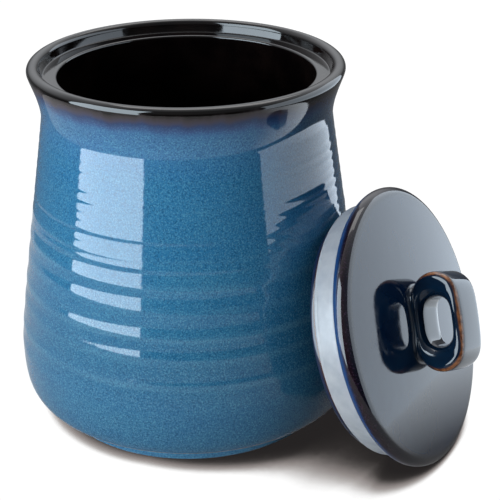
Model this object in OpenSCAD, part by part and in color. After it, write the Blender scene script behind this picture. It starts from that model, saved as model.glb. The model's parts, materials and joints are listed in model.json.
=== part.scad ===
// Lidded stoneware crock, drawn with its lid taken off and leaned against the body.
// Millimetres, +Z up, origin at the centre of the foot, the lid leans towards +X.

/* [Crock body] */
// Height of the crock to the top of its lip
crock_height = 163.5; // [120:0.5:220]
// Radius over the rolled lip
lip_radius = 69; // [50:0.5:90]
// Half of the rolled lip's thickness
lip_half_width = 3; // [1.5:0.1:5]
// Height of the rounded top of the lip
lip_crown = 2.5; // [1:0.1:5]
// Largest radius, low on the body
belly_radius = 79.6; // [60:0.1:100]
// Height of the largest radius above the foot
belly_height = 32.7; // [20:0.1:60]
// Radius of the neck under the lip
neck_radius = 64; // [45:0.1:85]
// Height of the neck above the foot
neck_height = 141; // [100:0.5:200]
// Thickness of the body wall at the belly
wall = 7.2; // [4:0.1:10]
// Thickness of the floor inside the foot ring
floor_thickness = 7; // [4:0.1:12]

/* [Foot] */
// Outer radius of the foot ring
foot_radius = 65.3; // [45:0.1:80]
// Height of the foot ring
foot_height = 5.6; // [2:0.1:12]
// Width of the flat that stands on the table
foot_flat = 7.5; // [3:0.1:15]
// Depth of the recess inside the foot ring
foot_recess = 2; // [0.5:0.1:6]

/* [Mouth and lid seat] */
// Radius of the straight throat
throat_radius = 56.1; // [40:0.1:75]
// Length of the straight throat
throat_length = 11; // [5:0.5:25]
// Depth of the lid seat below the top of the lip
seat_depth = 5.5; // [2:0.1:12]
// Radius of the lid seat
seat_radius = 62.6; // [45:0.1:85]

/* [Throwing rings] */
// Height of the rings left by throwing
ring_height = 0.35; // [0:0.05:1]
// Distance from one ring to the next
ring_pitch = 11.5; // [5:0.5:25]

/* [Lid] */
// Radius of the lid plate
plate_radius = 61; // [40:0.1:80]
// Half of the plate's thickness at its rounded edge
plate_edge = 4; // [2:0.1:8]
// Rise of the crowned top above the edge
plate_crown = 2.9; // [0:0.1:8]
// Radius of the groove that holds the seal
groove_radius = 51.2; // [35:0.1:70]
// Height of the seal in its groove
seal_height = 10.8; // [5:0.1:20]
// Radius of the flange under the seal
flange_radius = 53.2; // [36:0.1:72]
// Thickness of the flange under the seal
flange_thickness = 3.8; // [2:0.1:8]
// Radius of the hollow under the lid
hollow_radius = 44; // [25:0.1:60]
// Radius of the seal next to the plate
seal_top_radius = 56.6; // [40:0.1:75]
// Radius of the seal next to the flange
seal_bottom_radius = 55.2; // [40:0.1:75]

/* [Handle] */
// Length of the ring handle
handle_length = 42.4; // [25:0.1:70]
// Height of the ring handle above the lid
handle_height = 22.4; // [15:0.1:40]
// Width of the ring handle's strap
handle_width = 21.4; // [8:0.1:35]
// Length of the finger hole
hole_length = 21.5; // [12:0.1:45]
// Height of the finger hole
hole_height = 13.4; // [8:0.1:30]
// Distance from the lid to the finger hole
hole_lift = 3.8; // [2:0.1:10]
// Radius of the handle's rounded edges
handle_edge = 2.2; // [0.5:0.1:4]
// Turn of the handle about the lid's own axis
handle_turn = -22; // [-90:1:90]

/* [Where the lid leans] */
// Distance from the crock's axis to the middle of the lid's edge
lean_distance = 107; // [90:0.1:140]
// Sideways offset of the leaning lid
lean_shift = 4.4; // [-20:0.1:20]
// Angle of the lid's axis above the table
lean_angle = 21.1; // [5:0.1:45]

/* [Hidden] */
seat_height = crock_height - seat_depth;
lip_level = crock_height - lip_crown;
throat_bottom = seat_height - 1 - throat_length;
inner_floor = foot_recess + floor_thickness;
edge_centre = plate_radius - plate_edge;
plate_top = plate_edge + plate_crown;
groove_bottom = -plate_edge - seal_height;
flange_bottom = groove_bottom - flange_thickness;
hollow_top = 1.5 - plate_edge;
pad_radius = 13.5;
end_radius = handle_height / 2;
hole_radius = hole_height / 2;
lid_height = edge_centre * cos(lean_angle) + plate_edge;
$fn = 96;

function bend(a, b, c, d, steps) = [
    for (i = [0 : steps - 1])
        let (t = i / steps, s = 1 - t)
        s * s * s * a + 3 * s * s * t * b + 3 * s * t * t * c + t * t * t * d
];

function arc(centre, rx, ry, from, to, steps) = [
    for (i = [0 : steps])
        let (w = from + (to - from) * i / steps)
        centre + [rx * cos(w), ry * sin(w)]
];

// A ring pattern that fades out at the belly and at the neck.
function ringed(p) =
    let (u = (p[1] - belly_height) / (neck_height - belly_height))
    [p[0] + ring_height * sin(180 * u) * cos(360 * (p[1] - belly_height) / ring_pitch), p[1]];

foot_profile = concat(
    [[0, foot_recess], [foot_radius - foot_flat - 2, foot_recess]],
    [[foot_radius - foot_flat, 0]],
    arc([foot_radius - 1, 1], 1, 1, -90, 0, 4),
    [[foot_radius + 0.6, foot_height - 0.6]]
);

belly_profile = bend(
    [foot_radius + 0.7, foot_height],
    [foot_radius + 12.6, foot_height + 4.1],
    [belly_radius, belly_height - 20.3],
    [belly_radius, belly_height],
    12
);

side_profile = [
    for (p = bend(
        [belly_radius, belly_height],
        [belly_radius, belly_height + 10.4],
        [neck_radius, neck_height - 3.8],
        [neck_radius, neck_height],
        56
    ))
        ringed(p)
];

neck_profile = bend(
    [neck_radius, neck_height],
    [neck_radius, neck_height + 8.5],
    [lip_radius, lip_level - 1.8],
    [lip_radius, lip_level],
    10
);

lip_profile = concat(
    arc([lip_radius - lip_half_width, lip_level], lip_half_width, lip_crown, 0, 90, 6),
    arc([lip_radius - lip_half_width, lip_level], lip_half_width - 0.4, lip_crown, 105, 180, 5),
    arc([seat_radius - 0.6, seat_height + 0.6], 0.6, 0.6, 0, -90, 3)
);

throat_profile = concat(
    arc([throat_radius + 1, seat_height - 1], 1, 1, 90, 180, 4),
    bend(
        [throat_radius, throat_bottom],
        [throat_radius, throat_bottom - 8],
        [belly_radius - wall, belly_height + 27],
        [belly_radius - wall, belly_height + 3],
        18
    ),
    bend(
        [belly_radius - wall, belly_height + 3],
        [belly_radius - wall, belly_height - 13],
        [belly_radius - wall - 6, inner_floor],
        [belly_radius - wall - 20, inner_floor],
        12
    ),
    [[belly_radius - wall - 20, inner_floor], [0, inner_floor]]
);

plate_profile = concat(
    [[0, plate_top], [0, hollow_top], [hollow_radius - 4, hollow_top]],
    arc([hollow_radius - 4, hollow_top - 4], 4, 4, 75, 0, 5),
    [[hollow_radius + 0.5, flange_bottom + 1]],
    arc([hollow_radius + 1.5, flange_bottom + 1], 1, 1, -150, -90, 3),
    arc([flange_radius - 2.2, flange_bottom + 1.8], 1.8, 1.8, -90, 0, 6),
    arc([flange_radius - 0.7, groove_bottom - 0.7], 0.7, 0.7, 0, 90, 4),
    [[groove_radius, groove_bottom], [groove_radius, -plate_edge]],
    arc([edge_centre, 0], plate_edge, plate_edge, -90, 84, 16),
    [for (i = [1 : 10]) let (r = edge_centre + (pad_radius - edge_centre) * i / 10)
        [r, plate_top - plate_crown * (r * r - pad_radius * pad_radius)
            / (edge_centre * edge_centre - pad_radius * pad_radius)]]
);

seal_profile = concat(
    [[groove_radius, groove_bottom]],
    arc([seal_bottom_radius - 0.8, groove_bottom + 0.8], 0.8, 0.8, -90, 0, 4),
    arc([seal_top_radius - 0.8, -plate_edge - 0.8], 0.8, 0.8, 0, 90, 4),
    [[groove_radius, -plate_edge]]
);

// Half of a round-edged disc of the given radius, for the ends of the handle.
function disc_profile(radius) = concat(
    [[0, -handle_width / 2]],
    arc([radius - handle_edge, handle_edge - handle_width / 2],
        handle_edge, handle_edge, -90, 0, 6),
    arc([radius - handle_edge, handle_width / 2 - handle_edge],
        handle_edge, handle_edge, 0, 90, 6),
    [[0, handle_width / 2]]
);

// Half of a spool that flares at both faces, for cutting the finger hole.
function spool_profile(radius) = concat(
    [[0, -handle_width / 2 - 1], [radius + handle_edge, -handle_width / 2 - 1]],
    arc([radius + handle_edge, handle_edge - handle_width / 2],
        handle_edge, handle_edge, 270, 180, 6),
    arc([radius + handle_edge, handle_width / 2 - handle_edge],
        handle_edge, handle_edge, 180, 90, 6),
    [[radius + handle_edge, handle_width / 2 + 1], [0, handle_width / 2 + 1]]
);

module leaning() {
    translate([lean_distance, lean_shift, lid_height])
        rotate([0, 90 - lean_angle, 0])
            children();
}

// A half turn of a profile at each end and a straight run of it between them.
module long_round(profile, reach) {
    for (side = [0, 1])
        mirror([side, 0, 0])
            translate([reach, 0, 0])
                rotate([0, 90, 0])
                    rotate([90, 0, 0])
                        rotate_extrude(angle = 180)
                            polygon(profile);
    translate([-reach, 0, 0])
        rotate([90, 0, 90])
            linear_extrude(height = 2 * reach)
                for (side = [0, 1])
                    mirror([0, side, 0])
                        rotate(90)
                            polygon(profile);
}

module crock_body() {
    color("steelblue")
        rotate_extrude()
            polygon(concat(foot_profile, belly_profile, side_profile,
                neck_profile, lip_profile, throat_profile));
}

module lid_cover() {
    color("slategray")
        leaning()
            rotate_extrude()
                polygon(plate_profile);
}

module seal_ring() {
    color("white")
        leaning()
            rotate_extrude()
                polygon(seal_profile);
}

module lid_handle() {
    color("midnightblue")
        leaning()
            rotate([0, 0, handle_turn])
                translate([0, 0, plate_top + end_radius])
                    difference() {
                        long_round(disc_profile(end_radius), handle_length / 2 - end_radius);
                        translate([0, 0, hole_lift + hole_radius - end_radius])
                            long_round(spool_profile(hole_radius), hole_length / 2 - hole_radius);
                    }
}

crock_body();
lid_cover();
lid_handle();
seal_ring();
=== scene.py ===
"""Looks of a lidded stoneware crock: glazed body, plug lid with a ring handle and a silicone seal.

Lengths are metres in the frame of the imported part: +Z up, origin at the centre of the foot.
"""

import json
import math

import bpy
import numpy as np
from mathutils import Matrix, Vector


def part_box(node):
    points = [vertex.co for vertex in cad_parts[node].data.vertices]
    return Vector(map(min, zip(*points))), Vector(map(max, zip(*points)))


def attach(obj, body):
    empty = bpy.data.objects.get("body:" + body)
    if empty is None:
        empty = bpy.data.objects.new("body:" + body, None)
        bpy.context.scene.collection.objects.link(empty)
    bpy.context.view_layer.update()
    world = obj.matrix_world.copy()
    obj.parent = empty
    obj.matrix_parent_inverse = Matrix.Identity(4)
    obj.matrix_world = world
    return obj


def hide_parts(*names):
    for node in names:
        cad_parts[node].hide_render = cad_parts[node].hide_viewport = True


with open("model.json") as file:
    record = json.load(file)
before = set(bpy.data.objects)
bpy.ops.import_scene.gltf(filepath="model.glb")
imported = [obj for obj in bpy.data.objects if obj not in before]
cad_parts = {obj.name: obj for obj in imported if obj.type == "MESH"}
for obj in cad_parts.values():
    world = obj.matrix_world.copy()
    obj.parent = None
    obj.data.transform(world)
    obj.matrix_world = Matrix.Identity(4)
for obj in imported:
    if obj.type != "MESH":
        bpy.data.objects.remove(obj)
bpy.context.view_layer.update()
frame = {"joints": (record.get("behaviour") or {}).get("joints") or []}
MM = 0.001

# Crock, from its foot to its lip
CROCK_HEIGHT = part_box("crock_body")[1].z
BELLY_RADIUS = 79.6 * MM
BELLY_HEIGHT = 32.7 * MM
NECK_RADIUS = 64 * MM
NECK_HEIGHT = 141 * MM
LIP_RADIUS = 69 * MM
LIP_HALF = 3 * MM
LIP_CROWN = 2.5 * MM
LIP_LEVEL = CROCK_HEIGHT - LIP_CROWN
WALL = 7.2 * MM
FOOT_RADIUS = 65.3 * MM
FOOT_HEIGHT = 5.6 * MM
FOOT_FLAT = 7.5 * MM
FOOT_RECESS = 2 * MM
FOOT_INNER_ROUND = 0.8 * MM
FOOT_OUTER_ROUND = 1.2 * MM
INNER_FLOOR = 9 * MM
THROAT_RADIUS = 56.1 * MM
THROAT_LENGTH = 11 * MM
THROAT_ROUND = 1 * MM
SEAT_RADIUS = 62.6 * MM
SEAT_HEIGHT = CROCK_HEIGHT - 5.5 * MM
SEAT_ROUND = 0.6 * MM

# Rings left by throwing: broad ones on the lower side and fine ones above them.
# A zone is the lowest and highest place where they are full, and how far they fade out beyond it.
BROAD_DEPTH = 0.13 * MM
BROAD_PITCHES = (10.9 * MM, 7.3 * MM)
BROAD_ZONE = (48 * MM, 92 * MM, 22 * MM)
FINE_DEPTH = 0.05 * MM
FINE_PITCHES = (4.1 * MM, 5.7 * MM)
FINE_ZONE = (96 * MM, 130 * MM, 10 * MM)

# Lid, in its own frame: the axis is Z and the origin is in the middle of the rounded edge
PLATE_RADIUS = 61 * MM
PLATE_EDGE = 4 * MM
PLATE_CROWN = 2.9 * MM
PLATE_TOP = PLATE_EDGE + PLATE_CROWN
PAD_RADIUS = 13.5 * MM
GROOVE_RADIUS = 51.2 * MM
SEAL_HEIGHT = 10.8 * MM
SEAL_TOP_RADIUS = 56.6 * MM
SEAL_BOTTOM_RADIUS = 55.2 * MM
SEAL_ROUND = 0.8 * MM
SEAL_GROOVE = 0.15 * MM
FLANGE_RADIUS = 53.2 * MM
FLANGE_THICKNESS = 3.8 * MM
HOLLOW_RADIUS = 44 * MM
HOLLOW_ROUND = 4 * MM
EDGE_CENTRE = PLATE_RADIUS - PLATE_EDGE
GROOVE_BOTTOM = -PLATE_EDGE - SEAL_HEIGHT
FLANGE_BOTTOM = GROOVE_BOTTOM - FLANGE_THICKNESS
HOLLOW_TOP = 1.5 * MM - PLATE_EDGE

# Ring handle, in the lid's frame turned about the lid's axis
HANDLE_LENGTH = 42.4 * MM
HANDLE_HEIGHT = 22.4 * MM
HANDLE_WIDTH = 21.4 * MM
HOLE_LENGTH = 21.5 * MM
HOLE_HEIGHT = 13.4 * MM
HOLE_LIFT = 3.8 * MM
HANDLE_ROUND = 3 * MM
HOLE_ROUND = 6 * MM
STRAP_CROWN = 0.3 * MM
FILLET = 1.3 * MM
HANDLE_TURN = math.radians(-22)

# Where the lid leans: its axis is the slide's axis, and its lowest point is on the table
LID_AXIS = Vector(frame["joints"][0]["axis"]).normalized()
LEAN_DISTANCE = 107 * MM
LID_LOW, LID_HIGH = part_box("lid_cover")
LEAN_SHIFT = (LID_LOW.y + LID_HIGH.y) / 2
LID_MIDDLE = Vector((LEAN_DISTANCE, LEAN_SHIFT, EDGE_CENTRE * LID_AXIS.x + PLATE_EDGE))
LID_TILT = math.atan2(LID_AXIS.x, LID_AXIS.z)
LID_PLACE = Matrix.Translation(LID_MIDDLE) @ Matrix.Rotation(LID_TILT, 4, "Y")
HANDLE_PLACE = LID_PLACE @ Matrix.Rotation(HANDLE_TURN, 4, "Z") @ Matrix.Translation((0, 0, PLATE_TOP))

# How finely the meshes are cut
CROCK_AROUND = 160
LID_AROUND = 160
HANDLE_AROUND = 144
LUTING_AROUND = 96
TABLE_AROUND = 128
LIP_STEPS = 12

# Materials of the crock, by their place in its list
OUTSIDE, INSIDE, BARE = range(3)

# Table. Crock and lid darken it with a painted shadow up to SHADE_REACH away, and it glows in reflections
# towards BACK.
TABLE_RADIUS = 0.33
TABLE_MIDDLE = (-0.02, -0.12)
SHADE_REACH = 0.085
BACK = (0.6, 0.8, 0)

# Surroundings. WHITE is as bright as the camera sees them, and the room is darkest towards FRONT.
SURROUND_RADIUS = 8
WHITE = 1.05
FRONT = (0.51, -0.86, 0)

# Camera: a long lens above the front, looking down into the mouth
CAMERA_PLACE = (0.2709, -0.4566, 0.3213)
CAMERA_LOOK = (-0.4207, 0.8010, -0.4258)
CAMERA_LENS = 90.86
SENSOR = 36


# ---------------------------------------------------------------- outlines

def bend(a, b, c, d, steps):
    """A cubic curve from a to d, without its last point."""
    a, b, c, d = (np.array(p, float) for p in (a, b, c, d))
    t = (np.arange(steps) / steps)[:, None]
    s = 1 - t
    return s**3 * a + 3 * s * s * t * b + 3 * s * t * t * c + t**3 * d


def arc(centre, rx, ry, start, end, steps):
    """Part of an ellipse, angles in degrees."""
    w = np.radians(np.linspace(start, end, steps + 1))
    return np.column_stack((centre[0] + rx * np.cos(w), centre[1] + ry * np.sin(w)))


def circle_arc(x, y, radius, start, end, steps):
    """Part of a circle round (x, y), angles in degrees."""
    return arc((x, y), radius, radius, start, end, steps)


def line(a, b, steps):
    """A straight run from a to b, without its last point."""
    t = (np.arange(steps) / steps)[:, None]
    return np.array(a, float) * (1 - t) + np.array(b, float) * t


def window(z, low, high, fade):
    """1 between low and high, falling smoothly to 0 over fade outside them."""
    rise = np.clip((z - low) / fade + 1, 0, 1)
    fall = np.clip((high - z) / fade + 1, 0, 1)
    step = np.minimum(rise, fall)
    return step * step * (3 - 2 * step)


# ---------------------------------------------------------------- meshes

def make_object(name, verts, faces, place, body, nodes):
    """A smooth piece. "local" keeps where its points are in the piece's own frame, for its material."""
    local = np.array(verts, float)
    turn, shift = np.array(place.to_3x3()), np.array(place.translation)
    mesh = bpy.data.meshes.new(name)
    mesh.from_pydata((local @ turn.T + shift).tolist(), [], faces)
    mesh.shade_smooth()
    attribute = mesh.attributes.new("local", "FLOAT_VECTOR", "POINT")
    attribute.data.foreach_set("vector", local.astype(np.float32).ravel())
    piece = bpy.data.objects.new(name, mesh)
    bpy.context.scene.collection.objects.link(piece)
    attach(piece, body)
    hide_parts(*nodes)
    return piece


def grid_faces(rows, columns, closed=True):
    """Faces of a grid of points that closes round each row, and from the last row to the first if closed."""
    faces = []
    for i in range(rows if closed else rows - 1):
        a, b = i * columns, (i + 1) % rows * columns
        faces += [(a + k, a + (k + 1) % columns, b + (k + 1) % columns, b + k) for k in range(columns)]
    return faces


def turned(outline, around, wobble=None):
    """Points of an outline turned about Z. wobble moves a point outward by its outline point and angle."""
    angles = np.arange(around) * 2 * math.pi / around
    radius = np.repeat(outline[:, 0:1], around, 1)
    height = np.repeat(outline[:, 1:2], around, 1)
    if wobble is not None:
        radius = radius + wobble(outline, angles)
    return np.stack((radius * np.cos(angles), radius * np.sin(angles), height), 2).reshape(-1, 3)


def lathe(outline, around, wobble=None):
    """Mesh of an outline that starts and ends on the axis, closed by a fan of triangles at each end."""
    off_axis = outline[1:-1]
    first = len(off_axis) * around
    last = first + 1
    end_row = first - around
    verts = np.vstack((turned(off_axis, around, wobble), [[0, 0, outline[0, 1]], [0, 0, outline[-1, 1]]]))
    faces = grid_faces(len(off_axis), around, closed=False)
    faces += [(first, (k + 1) % around, k) for k in range(around)]
    faces += [(last, end_row + k, end_row + (k + 1) % around) for k in range(around)]
    return verts, faces


# ---------------------------------------------------------------- crock

def throwing_rings(z, angle):
    """How far the rings left by the potter's fingers stand out, at a height and an angle."""
    drift = 0.25 * np.sin(angle) + 0.15 * np.sin(2 * angle + 1)

    def wave(pitch, shift):
        return np.cos(2 * math.pi * z / pitch + shift)

    broad = wave(BROAD_PITCHES[0], drift) + 0.3 * wave(BROAD_PITCHES[1], 1 + 2 * drift)
    fine = wave(FINE_PITCHES[0], 3 * drift) + 0.5 * wave(FINE_PITCHES[1], -drift)
    return BROAD_DEPTH * window(z, *BROAD_ZONE) * broad + FINE_DEPTH * window(z, *FINE_ZONE) * fine


def crock_profile():
    """The crock's outline, from under the foot, over the lip, to the middle of the inner floor.

    Also gives the rows of bare clay, and the row at the top of the lip, where the outside ends. In each
    bend the two middle points pull the curve round.
    """
    foot_inside = FOOT_RADIUS - FOOT_FLAT
    recess = line((0, FOOT_RECESS), (foot_inside - 2 * MM, FOOT_RECESS), 10)
    foot_edge = circle_arc(foot_inside - 0.6 * MM, FOOT_INNER_ROUND, FOOT_INNER_ROUND, 190, 270, 5)
    foot_side = np.vstack((
        circle_arc(FOOT_RADIUS - FOOT_OUTER_ROUND, FOOT_OUTER_ROUND, FOOT_OUTER_ROUND, -90, 0, 7),
        line((FOOT_RADIUS, 1.8 * MM), (FOOT_RADIUS + 0.5 * MM, FOOT_HEIGHT - 0.9 * MM), 4),
        circle_arc(FOOT_RADIUS + 1.15 * MM, FOOT_HEIGHT - 0.7 * MM, 0.65 * MM, 175, 110, 4),
    ))
    belly = bend((FOOT_RADIUS + 1.3 * MM, FOOT_HEIGHT), (FOOT_RADIUS + 12.6 * MM, FOOT_HEIGHT + 4.1 * MM),
                 (BELLY_RADIUS, BELLY_HEIGHT - 20.3 * MM), (BELLY_RADIUS, BELLY_HEIGHT), 40)
    side = bend((BELLY_RADIUS, BELLY_HEIGHT), (BELLY_RADIUS, BELLY_HEIGHT + 10.4 * MM),
                (NECK_RADIUS, NECK_HEIGHT - 3.8 * MM), (NECK_RADIUS, NECK_HEIGHT), 190)
    neck = bend((NECK_RADIUS, NECK_HEIGHT), (NECK_RADIUS, NECK_HEIGHT + 8.5 * MM),
                (LIP_RADIUS, LIP_LEVEL - 1.8 * MM), (LIP_RADIUS, LIP_LEVEL), 26)
    below_lip = np.vstack((recess, foot_edge, foot_side, belly, side, neck))

    lip_middle = (LIP_RADIUS - LIP_HALF, LIP_LEVEL)
    lip_and_seat = np.vstack((
        arc(lip_middle, LIP_HALF, LIP_CROWN, 0, 90, LIP_STEPS),
        arc(lip_middle, LIP_HALF - 0.4 * MM, LIP_CROWN, 97.5, 180, LIP_STEPS - 1),
        circle_arc(SEAT_RADIUS - SEAT_ROUND, SEAT_HEIGHT + SEAT_ROUND, SEAT_ROUND, 0, -90, 5),
        line((SEAT_RADIUS - 2 * SEAT_ROUND, SEAT_HEIGHT), (THROAT_RADIUS + 1.2 * MM, SEAT_HEIGHT), 5),
    ))
    throat_low = SEAT_HEIGHT - THROAT_ROUND - THROAT_LENGTH
    inner_belly = BELLY_RADIUS - WALL
    hollow = np.vstack((
        circle_arc(THROAT_RADIUS + THROAT_ROUND, SEAT_HEIGHT - THROAT_ROUND, THROAT_ROUND, 90, 180, 7),
        line((THROAT_RADIUS, SEAT_HEIGHT - 2 * THROAT_ROUND), (THROAT_RADIUS, throat_low), 6),
        bend((THROAT_RADIUS, throat_low), (THROAT_RADIUS, throat_low - 8 * MM),
             (inner_belly, BELLY_HEIGHT + 27 * MM), (inner_belly, BELLY_HEIGHT + 3 * MM), 36),
        bend((inner_belly, BELLY_HEIGHT + 3 * MM), (inner_belly, BELLY_HEIGHT - 13 * MM),
             (inner_belly - 6 * MM, INNER_FLOOR), (inner_belly - 20 * MM, INNER_FLOOR), 18),
        line((inner_belly - 20 * MM, INNER_FLOOR), (0, INNER_FLOOR), 10),
        [[0, INNER_FLOOR]],
    ))
    bare_rows = range(len(recess), len(recess) + len(foot_edge) + 2)
    return np.vstack((below_lip, lip_and_seat, hollow)), bare_rows, len(below_lip) + LIP_STEPS


def make_crock():
    """The glazed body. Its "ridge" attribute says where the rings stand out, for the glaze."""
    profile, bare_rows, lip_row = crock_profile()
    outward = np.arange(1, len(profile) - 1) < lip_row

    def wobble(outline, angles):
        return throwing_rings(outline[:, 1:2], angles[None, :]) * outward[:, None]

    verts, faces = lathe(profile, CROCK_AROUND, wobble)
    crock = make_object("crock", verts, faces, Matrix.Identity(4), "crock", ["crock_body"])
    angles = np.arctan2(verts[:, 1], verts[:, 0])
    ridge = throwing_rings(verts[:, 2], angles) / BROAD_DEPTH
    attribute = crock.data.attributes.new("ridge", "FLOAT", "POINT")
    attribute.data.foreach_set("value", ridge.astype(np.float32))

    face_rows = np.repeat(np.arange(1, len(profile) - 2), CROCK_AROUND)
    # The faces are the rows in order, the fan under the foot, and the fan on the inner floor.
    slots = np.full(len(faces), OUTSIDE, np.int32)
    on_rows = slots[:len(face_rows)]
    on_rows[face_rows >= lip_row] = INSIDE
    on_rows[np.isin(face_rows, bare_rows)] = BARE
    slots[-CROCK_AROUND:] = INSIDE
    for material in (body_glaze(), inner_glaze(), bare_clay()):
        crock.data.materials.append(material)
    crock.data.polygons.foreach_set("material_index", slots)


# ---------------------------------------------------------------- lid

def plate_height(r):
    """Height of the lid's crowned top at radius r."""
    return PLATE_TOP - PLATE_CROWN * (r * r - PAD_RADIUS**2) / (EDGE_CENTRE**2 - PAD_RADIUS**2)


def lid_profile():
    """The lid's outline from the middle of its hollow, round the flange, groove and edge, to its top."""
    under = np.vstack((
        line((0, HOLLOW_TOP), (HOLLOW_RADIUS - HOLLOW_ROUND, HOLLOW_TOP), 10),
        circle_arc(HOLLOW_RADIUS - HOLLOW_ROUND, HOLLOW_TOP - HOLLOW_ROUND, HOLLOW_ROUND, 90, 0, 8),
        line((HOLLOW_RADIUS, HOLLOW_TOP - 5 * MM), (HOLLOW_RADIUS + 0.5 * MM, FLANGE_BOTTOM + 2 * MM), 6),
        circle_arc(HOLLOW_RADIUS + 1.7 * MM, FLANGE_BOTTOM + 1.2 * MM, 1.2 * MM, 180, 270, 6),
        arc((FLANGE_RADIUS - 2 * MM, FLANGE_BOTTOM + 1.9 * MM), 2 * MM, 1.9 * MM, -90, 0, 10),
        circle_arc(FLANGE_RADIUS - 1 * MM, GROOVE_BOTTOM - 1 * MM, 1 * MM, 10, 90, 6),
        line((GROOVE_RADIUS, GROOVE_BOTTOM), (GROOVE_RADIUS, -PLATE_EDGE), 5),
    ))
    edge = circle_arc(EDGE_CENTRE, 0, PLATE_EDGE, -90, 84, 36)
    r = np.linspace(EDGE_CENTRE, PAD_RADIUS, 30)[1:]
    top = np.column_stack((r, plate_height(r)))
    pad = line((PAD_RADIUS, PLATE_TOP), (0, PLATE_TOP), 6)[1:]
    return np.vstack((under, edge, top, pad, [[0, PLATE_TOP]]))


def make_lid():
    verts, faces = lathe(lid_profile(), LID_AROUND)
    lid = make_object("lid", verts, faces, LID_PLACE, "lid", ["lid_cover"])
    lid.data.materials.append(lid_glaze())


def make_seal():
    """A silicone ring with a tapering face, a fine groove near each edge and rounded corners."""
    low, high = GROOVE_BOTTOM, -PLATE_EDGE
    face_z = np.linspace(low + 0.9 * MM, high - 0.9 * MM, 25)
    share = (face_z - low) / (high - low)
    face_r = SEAL_BOTTOM_RADIUS + (SEAL_TOP_RADIUS - SEAL_BOTTOM_RADIUS) * share
    face_r -= SEAL_GROOVE * (window(share, 0.14, 0.15, 0.05) + window(share, 0.85, 0.86, 0.05))
    profile = np.vstack((
        [[GROOVE_RADIUS, low]],
        circle_arc(SEAL_BOTTOM_RADIUS - SEAL_ROUND, low + SEAL_ROUND, SEAL_ROUND, -90, -10, 6),
        np.column_stack((face_r, face_z)),
        circle_arc(SEAL_TOP_RADIUS - SEAL_ROUND, high - SEAL_ROUND, SEAL_ROUND, 10, 90, 6),
        [[GROOVE_RADIUS, high]],
    ))
    verts = turned(profile, LID_AROUND)
    faces = grid_faces(len(profile), LID_AROUND)
    seal = make_object("seal", verts, faces, LID_PLACE, "lid", ["seal_ring"])
    seal.data.materials.append(silicone())


# ---------------------------------------------------------------- handle

def long_round(length, height, middle, turns):
    """Points in X and Z round an outline with half-circle ends, at the given turns of 0 to 1."""
    radius = height / 2
    reach = length / 2 - radius
    hurry = 3.2  # how quickly the points pass the straight runs
    w = 2 * math.pi * turns
    x = reach * np.tanh(hurry * np.cos(w)) / math.tanh(hurry) + radius * np.cos(w)
    return np.column_stack((x, middle + radius * np.sin(w)))


def section(thickness, width, crown):
    """One cut through the strap: softly rounded towards the hole, tighter on the outside."""
    outside = (min(HANDLE_ROUND, 0.5 * thickness), HANDLE_ROUND)
    inside = (min(HOLE_ROUND, 0.5 * thickness), HOLE_ROUND)
    corners = ((1, 1, outside), (-1, 1, inside), (-1, -1, inside), (1, -1, outside))
    rounds = []
    for quarter, (sx, sy, (rx, ry)) in enumerate(corners):
        centre = (sx * (thickness / 2 - rx), sy * (width / 2 - ry))
        rounds.append(arc(centre, rx, ry, 90 * quarter, 90 * quarter + 90, 9))
    points = []
    for here, following in zip(rounds, rounds[1:] + rounds[:1]):
        points += [here, line(here[-1], following[0], 7)[1:]]
    points = np.vstack(points)
    bulge = crown * np.clip(1 - (2 * points[:, 1] / width) ** 2, 0, 1)
    points[:, 0] += np.sign(points[:, 0]) * bulge
    return points


def make_handle(glaze):
    """The ring: a strap whose sections stand between the outer outline and the finger hole."""
    turns = np.arange(HANDLE_AROUND) / HANDLE_AROUND
    outer = long_round(HANDLE_LENGTH, HANDLE_HEIGHT, HANDLE_HEIGHT / 2, turns)
    hole = long_round(HOLE_LENGTH, HOLE_HEIGHT, HOLE_LIFT + HOLE_HEIGHT / 2, turns)
    verts = []
    for out, near in zip(outer, hole):
        across = out - near
        thickness = float(np.hypot(*across))
        across = across / thickness
        middle = (out + near) / 2
        for p, q in section(thickness, HANDLE_WIDTH, STRAP_CROWN):
            verts.append((middle[0] + across[0] * p, q, middle[1] + across[1] * p))
    columns = len(verts) // HANDLE_AROUND
    faces = [tuple(reversed(face)) for face in grid_faces(HANDLE_AROUND, columns)]
    handle = make_object("handle", verts, faces, HANDLE_PLACE, "lid", ["lid_handle"])
    handle.data.materials.append(glaze)


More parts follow.
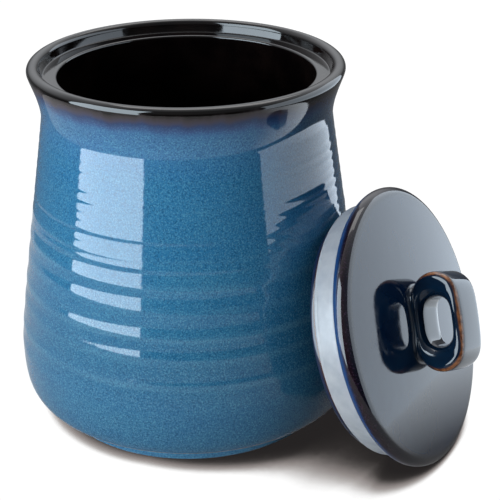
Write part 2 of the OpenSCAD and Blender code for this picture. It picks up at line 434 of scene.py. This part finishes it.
def make_luting(glaze):
    """The clay worked into the joint between the ring and the lid.

    Each column of points starts under the ring, comes out along the lid, climbs a round fillet that
    touches the lid and the ring's curved underside, and ends inside the ring.
    """
    reach_x = HANDLE_LENGTH / 2 - HANDLE_HEIGHT / 2
    reach_y = HANDLE_WIDTH / 2 - HANDLE_ROUND
    squareness = 0.35  # 1 is an ellipse, and less is closer to a rectangle
    sink = 0.3 * MM
    under_ring = 2 * MM
    into_ring = 1.5 * MM
    up_ring = 0.2 * MM
    verts = []
    for k in range(LUTING_AROUND):
        w = 2 * math.pi * k / LUTING_AROUND
        c, s = math.cos(w), math.sin(w)
        x = reach_x * math.copysign(abs(c) ** squareness, c)
        y = reach_y * math.copysign(abs(s) ** squareness, s)
        # The ring's underside curves up from (x, y) with radius curve. The fillet that touches it and the
        # lid stands at distance, and meets the ring at this share of the way between their centres.
        curve = math.hypot(HANDLE_HEIGHT / 2 * c, HANDLE_ROUND * s)
        distance = 2 * math.sqrt(curve * FILLET)
        share = curve / (curve + FILLET)
        swing = math.atan2(curve - FILLET, -distance) - 1.5 * math.pi
        rows = [(-under_ring, -sink), (distance, -sink), (distance, 0)]
        for i in range(1, 8):
            a = swing * i / 7 - math.pi / 2
            rows.append((distance + FILLET * math.cos(a), FILLET + FILLET * math.sin(a)))
        rows.append((distance * share - into_ring, curve - (curve - FILLET) * share + up_ring))
        verts += [(x + c * p, y + s * p, q) for p, q in rows]
    columns = len(verts) // LUTING_AROUND
    faces = [tuple(reversed(face)) for face in grid_faces(LUTING_AROUND, columns)]
    luting = make_object("handle_luting", verts, faces, HANDLE_PLACE, "lid", [])
    luting.data.materials.append(glaze)


# ---------------------------------------------------------------- materials

def srgb(r, g, b):
    """A colour given as 0 to 255 on screen, as linear light with full alpha."""
    def linear(c):
        c = c / 255
        return c / 12.92 if c <= 0.04045 else ((c + 0.055) / 1.055) ** 2.4
    return (linear(r), linear(g), linear(b), 1)


class Nodes:
    """Short ways to add shader nodes to a material or a world."""

    def __init__(self, owner):
        owner.use_nodes = True
        self.tree = owner.node_tree

    def node(self, kind, inputs=(), **settings):
        """Adds a node. An input is a constant or the output of another node."""
        made = self.tree.nodes.new("ShaderNode" + kind)
        for key, value in settings.items():
            setattr(made, key, value)
        for key, value in dict(inputs).items():
            if isinstance(value, bpy.types.NodeSocket):
                self.tree.links.new(value, made.inputs[key])
            else:
                made.inputs[key].default_value = value
        return made

    def math(self, operation, *values):
        return self.node("Math", dict(enumerate(values)), operation=operation).outputs[0]

    def dot(self, vector, direction):
        made = self.node("VectorMath", {0: vector, 1: direction}, operation="DOT_PRODUCT")
        return made.outputs["Value"]

    def range(self, value, low, high, to_low=0, to_high=1, interpolation="SMOOTHSTEP"):
        """Maps low..high onto to_low..to_high, and holds the ends beyond them."""
        ends = {"Value": value, "From Min": low, "From Max": high, "To Min": to_low, "To Max": to_high}
        return self.node("MapRange", ends, interpolation_type=interpolation).outputs[0]

    def ramp(self, value, *stops, interpolation="LINEAR"):
        """A colour for each value, through stops of (value, colour)."""
        made = self.node("ValToRGB", {0: value})
        made.color_ramp.interpolation = interpolation
        points = made.color_ramp.elements
        while len(points) < len(stops):
            points.new(0.5)
        for point, (place, colour) in zip(points, stops):
            point.position = place
            point.color = colour
        return made.outputs[0]


class Shader(Nodes):
    """A material with its Principled shader. Keywords set the shader's constants."""

    def __init__(self, name, **constants):
        self.material = bpy.data.materials.new(name)
        super().__init__(self.material)
        self.principled = self.tree.nodes["Principled BSDF"]
        for socket, value in constants.items():
            self.principled.inputs[socket.replace("_", " ")].default_value = value

    def into(self, socket, output):
        self.tree.links.new(output, self.principled.inputs[socket])

    def local(self):
        """The place in the piece's own frame."""
        return self.node("Attribute", attribute_name="local").outputs["Vector"]

    def local_axes(self):
        return self.node("SeparateXYZ", {0: self.local()}).outputs

    def noise(self, scale, detail, roughness=0.5, stretch=None):
        where = self.local()
        if stretch:
            where = self.node("Mapping", {"Vector": where, "Scale": stretch}).outputs[0]
        inputs = {"Vector": where, "Scale": scale, "Detail": detail, "Roughness": roughness}
        return self.node("TexNoise", inputs).outputs["Fac"]

    def wander(self, noise, reach):
        """An uneven shift, of up to half the reach either way."""
        return self.math("MULTIPLY", self.math("SUBTRACT", noise, 0.5), reach)

    def mix(self, share, a, b):
        """Colour a, turning to b as the share rises. Sockets 6 and 7 take the colours, and 2 gives one."""
        return self.node("Mix", {0: share, 6: a, 7: b}, data_type="RGBA").outputs[2]

    def tint(self, base, strength, mask, colour):
        """Lays a colour over the base, at the given strength where the mask is 1."""
        return self.mix(self.math("MULTIPLY", mask, strength), base, colour)

    def bump(self, height, strength, distance):
        made = self.node("Bump", {"Height": height, "Strength": strength, "Distance": distance})
        self.into("Normal", made.outputs[0])

    def fired_gloss(self, patch_scale, smooth, rough, wave_scale, wave_strength, wave_depth=0.5 * MM):
        """Roughness that varies in patches, and faint waves in the surface, as fired glaze has."""
        self.into("Roughness", self.range(self.noise(patch_scale, 2), 0.3, 0.8, smooth, rough))
        self.bump(self.noise(wave_scale, 3, 0.45), wave_strength, wave_depth)


def body_glaze():
    """Reactive blue glaze: near-black at the lip, brown to lavender below it, speckled blue on the side.

    It has a painted highlight of paler blue on the ridges of the throwing rings, and leaves a pale line
    above the foot.
    """
    s = Shader("reactive_blue", IOR=1.5)
    z = s.local_axes()[2]
    runs = s.wander(s.noise(1, 3, 0.55, stretch=(70, 70, 9)), 7 * MM)
    height = s.math("DIVIDE", s.math("ADD", z, runs), CROCK_HEIGHT)
    colour = s.ramp(
        height,
        (0.000, srgb(72, 132, 176)),
        (0.035, srgb(64, 122, 166)),
        (0.090, srgb(50, 108, 150)),
        (0.200, srgb(50, 114, 158)),
        (0.320, srgb(40, 108, 152)),
        (0.550, srgb(44, 116, 164)),
        (0.800, srgb(46, 118, 170)),
        (0.880, srgb(64, 122, 174)),
        (0.925, srgb(60, 110, 162)),
        (0.940, srgb(54, 80, 130)),
        (0.952, srgb(44, 64, 106)),
        (0.963, srgb(66, 64, 80)),
        (0.973, srgb(60, 55, 58)),
        (0.984, srgb(10, 8, 8)),
    )
    below_lip = s.range(height, 0.90, 0.965, 1, 0)
    clouds = s.range(s.noise(1, 4, 0.6, stretch=(22, 22, 60)), 0.35, 0.68)
    ridge = s.node("Attribute", attribute_name="ridge").outputs["Fac"]
    patches = s.range(s.noise(28, 3), 0.35, 0.65, 0.25, 0.9)
    # Painted highlight: paler blue on the ridges of the throwing rings, in patches.
    edge_break_and_ridge_highlight = s.math("MULTIPLY", s.range(ridge, 0.15, 1.3), patches)
    pale_grain = s.range(s.noise(1650, 2, 0.6), 0.47, 0.64)
    dark_grain = s.range(s.noise(1400, 2, 0.6), 0.48, 0.64)
    for mask, strength, shade in (
        (clouds, 0.22, srgb(70, 140, 172)),
        (edge_break_and_ridge_highlight, 0.4, srgb(104, 160, 190)),
        (pale_grain, 0.44, srgb(108, 176, 208)),
        (dark_grain, 0.52, srgb(18, 66, 110)),
    ):
        colour = s.tint(colour, strength, s.math("MULTIPLY", mask, below_lip), shade)
    above_foot = s.range(z, 5.4 * MM, 6.2 * MM)
    below_wall = s.range(z, 7.5 * MM, 9.5 * MM, 1, 0)
    colour = s.tint(colour, 0.45, s.math("MULTIPLY", above_foot, below_wall), srgb(150, 172, 200))
    s.into("Base Color", colour)
    s.fired_gloss(300, 0.035, 0.09, 130, 0.06)
    return s.material


def inner_glaze():
    """Near-black glossy glaze of the lip, seat and inside."""
    s = Shader("black_brown", IOR=1.5)
    mottle = s.range(s.noise(60, 4, 0.6), 0.35, 0.7)
    s.into("Base Color", s.ramp(mottle, (0, srgb(7, 5, 6)), (1, srgb(22, 16, 15))))
    s.fired_gloss(220, 0.05, 0.12, 110, 0.05)
    return s.material


def bare_clay():
    """Unglazed buff stoneware of the foot ring."""
    s = Shader("unglazed_clay", Roughness=0.85)
    grit = s.noise(900, 3, 0.7)
    s.into("Base Color", s.ramp(
        grit,
        (0.30, srgb(150, 128, 104)),
        (0.55, srgb(190, 170, 144)),
        (0.75, srgb(120, 98, 78)),
    ))
    s.bump(grit, 0.3, 0.3 * MM)
    return s.material


def lid_glaze():
    """Dark blue glaze that breaks brown on the lid's edges and is blue below them, next to the seal."""
    s = Shader("dark_blue_breaking_brown", IOR=1.5)
    x, y, z = s.local_axes()
    flat = s.node("CombineXYZ", {0: x, 1: y}).outputs[0]
    radius = s.node("VectorMath", {0: flat}, operation="LENGTH").outputs["Value"]
    clouds = s.range(s.noise(32, 4, 0.6), 0.35, 0.7)
    top = s.ramp(clouds, (0, srgb(8, 36, 70)), (1, srgb(20, 54, 88)))
    edge = s.ramp(
        s.range(s.math("ADD", z, s.wander(s.noise(90, 3), 1.6 * MM)), -4 * MM, 5 * MM),
        (0.00, srgb(34, 78, 132)),
        (0.22, srgb(24, 62, 116)),
        (0.38, srgb(16, 24, 54)),
        (0.50, srgb(28, 16, 24)),
        (0.72, srgb(24, 14, 24)),
        (0.95, srgb(10, 20, 36)),
    )
    edge = s.tint(edge, 0.35, s.range(s.noise(1300, 2, 0.7), 0.52, 0.7), srgb(76, 56, 84))
    flange = s.ramp(
        s.range(z, GROOVE_BOTTOM, FLANGE_BOTTOM),
        (0.00, srgb(140, 80, 50)),
        (0.22, srgb(74, 40, 30)),
        (0.36, srgb(30, 34, 58)),
        (0.75, srgb(24, 42, 74)),
        (1.00, srgb(40, 44, 62)),
    )
    at_edge = s.range(radius, EDGE_CENTRE - 1.5 * MM, EDGE_CENTRE + 1 * MM)
    below_plate = s.range(z, -PLATE_EDGE, -PLATE_EDGE - 0.5 * MM)
    s.into("Base Color", s.mix(below_plate, s.mix(at_edge, top, edge), flange))
    s.fired_gloss(240, 0.05, 0.11, 120, 0.05)
    return s.material


def handle_glaze():
    """Near-black blue glaze, breaking bronze along the strap's outer edges except near the lid."""
    s = Shader("dark_blue_breaking_bronze", IOR=1.5)
    x, y, z = s.local_axes()
    uneven = s.wander(s.noise(160, 3), 1.2 * MM)
    side = s.math("ADD", s.math("ABSOLUTE", y), uneven)
    past_straight = s.math("SUBTRACT", s.math("ABSOLUTE", x), (HANDLE_LENGTH - HANDLE_HEIGHT) / 2)
    end = s.math("MAXIMUM", past_straight, 0)
    rise = s.math("SUBTRACT", z, HANDLE_HEIGHT / 2)
    from_middle = s.math("SQRT", s.math("ADD", s.math("POWER", end, 2), s.math("POWER", rise, 2)))
    reach = s.math("ADD", from_middle, uneven)
    near_side = s.range(side, HANDLE_WIDTH / 2 - 2.6 * MM, HANDLE_WIDTH / 2 - 1.4 * MM)
    near_rim = s.range(reach, HANDLE_HEIGHT / 2 - 1.7 * MM, HANDLE_HEIGHT / 2 - 0.9 * MM)
    above_lid = s.range(z, 4 * MM, 9 * MM)
    # Where the glaze breaks bronze along the strap's edges.
    edge_break_and_ridge_highlight = s.math("MULTIPLY", s.math("MULTIPLY", near_side, near_rim), above_lid)
    clouds = s.range(s.noise(70, 3), 0.35, 0.7)
    base = s.ramp(clouds, (0, srgb(8, 28, 50)), (1, srgb(14, 42, 68)))
    mottle = s.range(s.noise(420, 3, 0.6), 0.3, 0.7)
    bronze = s.ramp(mottle, (0, srgb(92, 48, 28)), (1, srgb(176, 116, 70)))
    s.into("Base Color", s.mix(edge_break_and_ridge_highlight, base, bronze))
    s.fired_gloss(240, 0.02, 0.05, 140, 0.03, 0.4 * MM)
    return s.material


def silicone():
    """Milky white silicone rubber."""
    s = Shader("milky_silicone", IOR=1.41, Subsurface_Weight=0.5, Subsurface_Scale=3 * MM,
               Subsurface_Radius=(1, 1, 1))
    haze = s.noise(200, 3)
    s.into("Base Color", s.ramp(haze, (0.3, srgb(166, 176, 188)), (0.7, srgb(184, 193, 202))))
    s.into("Roughness", s.range(s.noise(500, 2), 0.3, 0.7, 0.28, 0.42))
    s.bump(s.noise(700, 2), 0.04, 0.2 * MM)
    return s.material


# ---------------------------------------------------------------- studio

def plain_material(name):
    """A new material without a shader, and its nodes."""
    material = bpy.data.materials.new(name)
    nodes = Nodes(material)
    nodes.tree.nodes.clear()
    return material, nodes


def table_paint():
    """A pale table with no visible edge.

    The camera sees it white, with a painted shadow darkening softly to brown where the crock and the lid
    close it in; the painted shadow is wider on the lid's side. The glaze reflects a pale table whose far
    side glows.
    """
    material, s = plain_material("pale_table")
    place = s.node("NewGeometry").outputs["Position"]
    rays = s.node("LightPath").outputs
    across = s.node("SeparateXYZ", {0: place}).outputs[0]
    lift = s.range(across, 0.015, 0.085, 0.21, 0, interpolation="LINEAR")
    # Painted shadow: the camera sees an emission that darkens to brown where crock and lid close the table
    # in, lighter away from the lid.
    openness = s.node("AmbientOcclusion", {"Distance": SHADE_REACH}, samples=48).outputs["AO"]
    painted_shadow = s.ramp(
        s.math("ADD", openness, lift),
        (0.22, (0.018, 0.016, 0.016, 1)),
        (0.34, (0.03, 0.027, 0.026, 1)),
        (0.46, (0.30, 0.27, 0.26, 1)),
        (0.58, (1, 1, 1, 1)),
        interpolation="EASE",
    )
    seen = s.node("Emission", {"Color": painted_shadow, "Strength": WHITE}).outputs[0]
    pale = s.range(rays["Is Diffuse Ray"], 0, 1, 0.85, 0.3, interpolation="LINEAR")
    paint = s.node("BsdfDiffuse", {"Color": pale}).outputs[0]
    glow = s.range(s.dot(place, BACK), 0.10, 0.22, 0, 2.2, interpolation="LINEAR")
    mirrored = s.math("MULTIPLY", glow, rays["Is Glossy Ray"])
    glowing = s.node("Emission", {"Color": (0.80, 0.90, 1, 1), "Strength": mirrored}).outputs[0]
    lit = s.node("AddShader", {0: paint, 1: glowing}).outputs[0]
    both = s.node("MixShader", {0: rays["Is Camera Ray"], 1: lit, 2: seen})
    s.node("OutputMaterial", {"Surface": both.outputs[0]})
    return material


def surround_paint():
    """Plain white light."""
    material, s = plain_material("pale_surround")
    seen = s.node("Emission", {"Color": (1, 1, 1, 1), "Strength": WHITE})
    s.node("OutputMaterial", {"Surface": seen.outputs[0]})
    return material


def flat_ring(name, inner, outer, material):
    """A flat ring at table height, or a disc if inner is 0."""
    angles = [2 * math.pi * k / TABLE_AROUND for k in range(TABLE_AROUND)]
    x, y = TABLE_MIDDLE
    radii = (outer, inner) if inner else (outer,)
    verts = [(x + r * math.cos(w), y + r * math.sin(w), 0) for r in radii for w in angles]
    faces = grid_faces(2, TABLE_AROUND, closed=False) if inner else [tuple(range(TABLE_AROUND))]
    mesh = bpy.data.meshes.new(name)
    mesh.from_pydata(verts, [], faces)
    mesh.materials.append(material)
    ring = bpy.data.objects.new(name, mesh)
    bpy.context.scene.collection.objects.link(ring)
    return ring


def make_floor():
    """A round table under the crock, and a white surround that only the camera sees."""
    flat_ring("table", 0, TABLE_RADIUS, table_paint())
    surround = flat_ring("surround", TABLE_RADIUS, SURROUND_RADIUS, surround_paint())
    surround.visible_diffuse = False
    surround.visible_glossy = False
    surround.visible_transmission = False
    surround.visible_shadow = False


def soft_light(name, place, target, size, radiance, colour, diffuse=True, glossy=True):
    """A rectangular light of a given brightness that the camera doesn't see.

    Without diffuse it shows only as a reflection, and without glossy only as light on a surface.
    """
    width, height = size
    data = bpy.data.lights.new(name, "AREA")
    data.shape = "RECTANGLE"
    data.size, data.size_y = width, height
    data.energy = radiance * math.pi * width * height
    data.color = colour
    light = bpy.data.objects.new(name, data)
    bpy.context.scene.collection.objects.link(light)
    direction = Vector(target) - Vector(place)
    light.location = place
    light.rotation_mode = "QUATERNION"
    light.rotation_quaternion = direction.to_track_quat("-Z", "Y")
    light.visible_camera = False
    light.visible_diffuse = diffuse
    light.visible_glossy = glossy


def make_world():
    """White behind everything, for the camera.

    The pieces see a room that is dark low down and in front, and bright overhead and behind. It is
    dimmer as light than as a reflection.
    """
    world = bpy.data.worlds.new("studio")
    bpy.context.scene.world = world
    s = Nodes(world)
    s.tree.nodes.clear()
    direction = s.node("TexCoord").outputs["Generated"]
    rays = s.node("LightPath").outputs
    height = s.node("SeparateXYZ", {0: direction}).outputs[2]
    overhead = s.range(height, 0.05, 0.5, 0.1, 1, interpolation="LINEAR")
    behind = s.range(s.dot(direction, FRONT), 0.4, -0.9, 0.2, 1.7, interpolation="LINEAR")
    dimmer = s.range(rays["Is Diffuse Ray"], 0, 1, 1, 0.25, interpolation="LINEAR")
    strength = s.math("MULTIPLY", s.math("MULTIPLY", overhead, behind), dimmer)
    room = s.node("Background", {"Color": (0.93, 0.96, 1, 1), "Strength": strength}).outputs[0]
    backdrop = s.node("Background", {"Color": (1, 1, 1, 1), "Strength": WHITE}).outputs[0]
    both = s.node("MixShader", {0: rays["Is Camera Ray"], 1: room, 2: backdrop})
    s.node("OutputWorld", {"Surface": both.outputs[0]})


def make_studio():
    """A tall window on the left, a broad panel low on the right, a soft key light in front and one above."""
    bpy.context.scene.view_settings.view_transform = "Standard"
    make_world()
    soft_light("window_left", (-0.40, -0.60, 0.46), (-0.34, 0, 0.46), size=(0.78, 1.12), radiance=9.3,
               colour=(0.74, 0.87, 0.97), diffuse=False)
    soft_light("wash", (-0.24, -1.12, 0.2), (0, 0, 0.08), size=(0.6, 0.7), radiance=10.2,
               colour=(1, 0.99, 0.97), glossy=False)
    soft_light("panel_right", (1.05, 0.75, 0.25), (0.05, 0, 0.25), size=(2.3, 1.7), radiance=2.72,
               colour=(0.77, 0.88, 1), diffuse=False)
    soft_light("top", (-0.2, 0.6, 1.3), (0, 0.1, 0), size=(1.0, 0.6), radiance=2.5,
               colour=(1, 0.98, 0.96))


def make_camera():
    data = bpy.data.cameras.new("camera")
    data.sensor_width = SENSOR
    data.lens = CAMERA_LENS
    data.clip_start = 0.01
    camera = bpy.data.objects.new("camera", data)
    bpy.context.scene.collection.objects.link(camera)
    camera.location = CAMERA_PLACE
    camera.rotation_mode = "QUATERNION"
    camera.rotation_quaternion = Vector(CAMERA_LOOK).to_track_quat("-Z", "Y")
    bpy.context.scene.camera = camera


make_camera()
make_crock()
make_lid()
make_seal()
dark_glaze = handle_glaze()
make_handle(dark_glaze)
make_luting(dark_glaze)
make_floor()
make_studio()
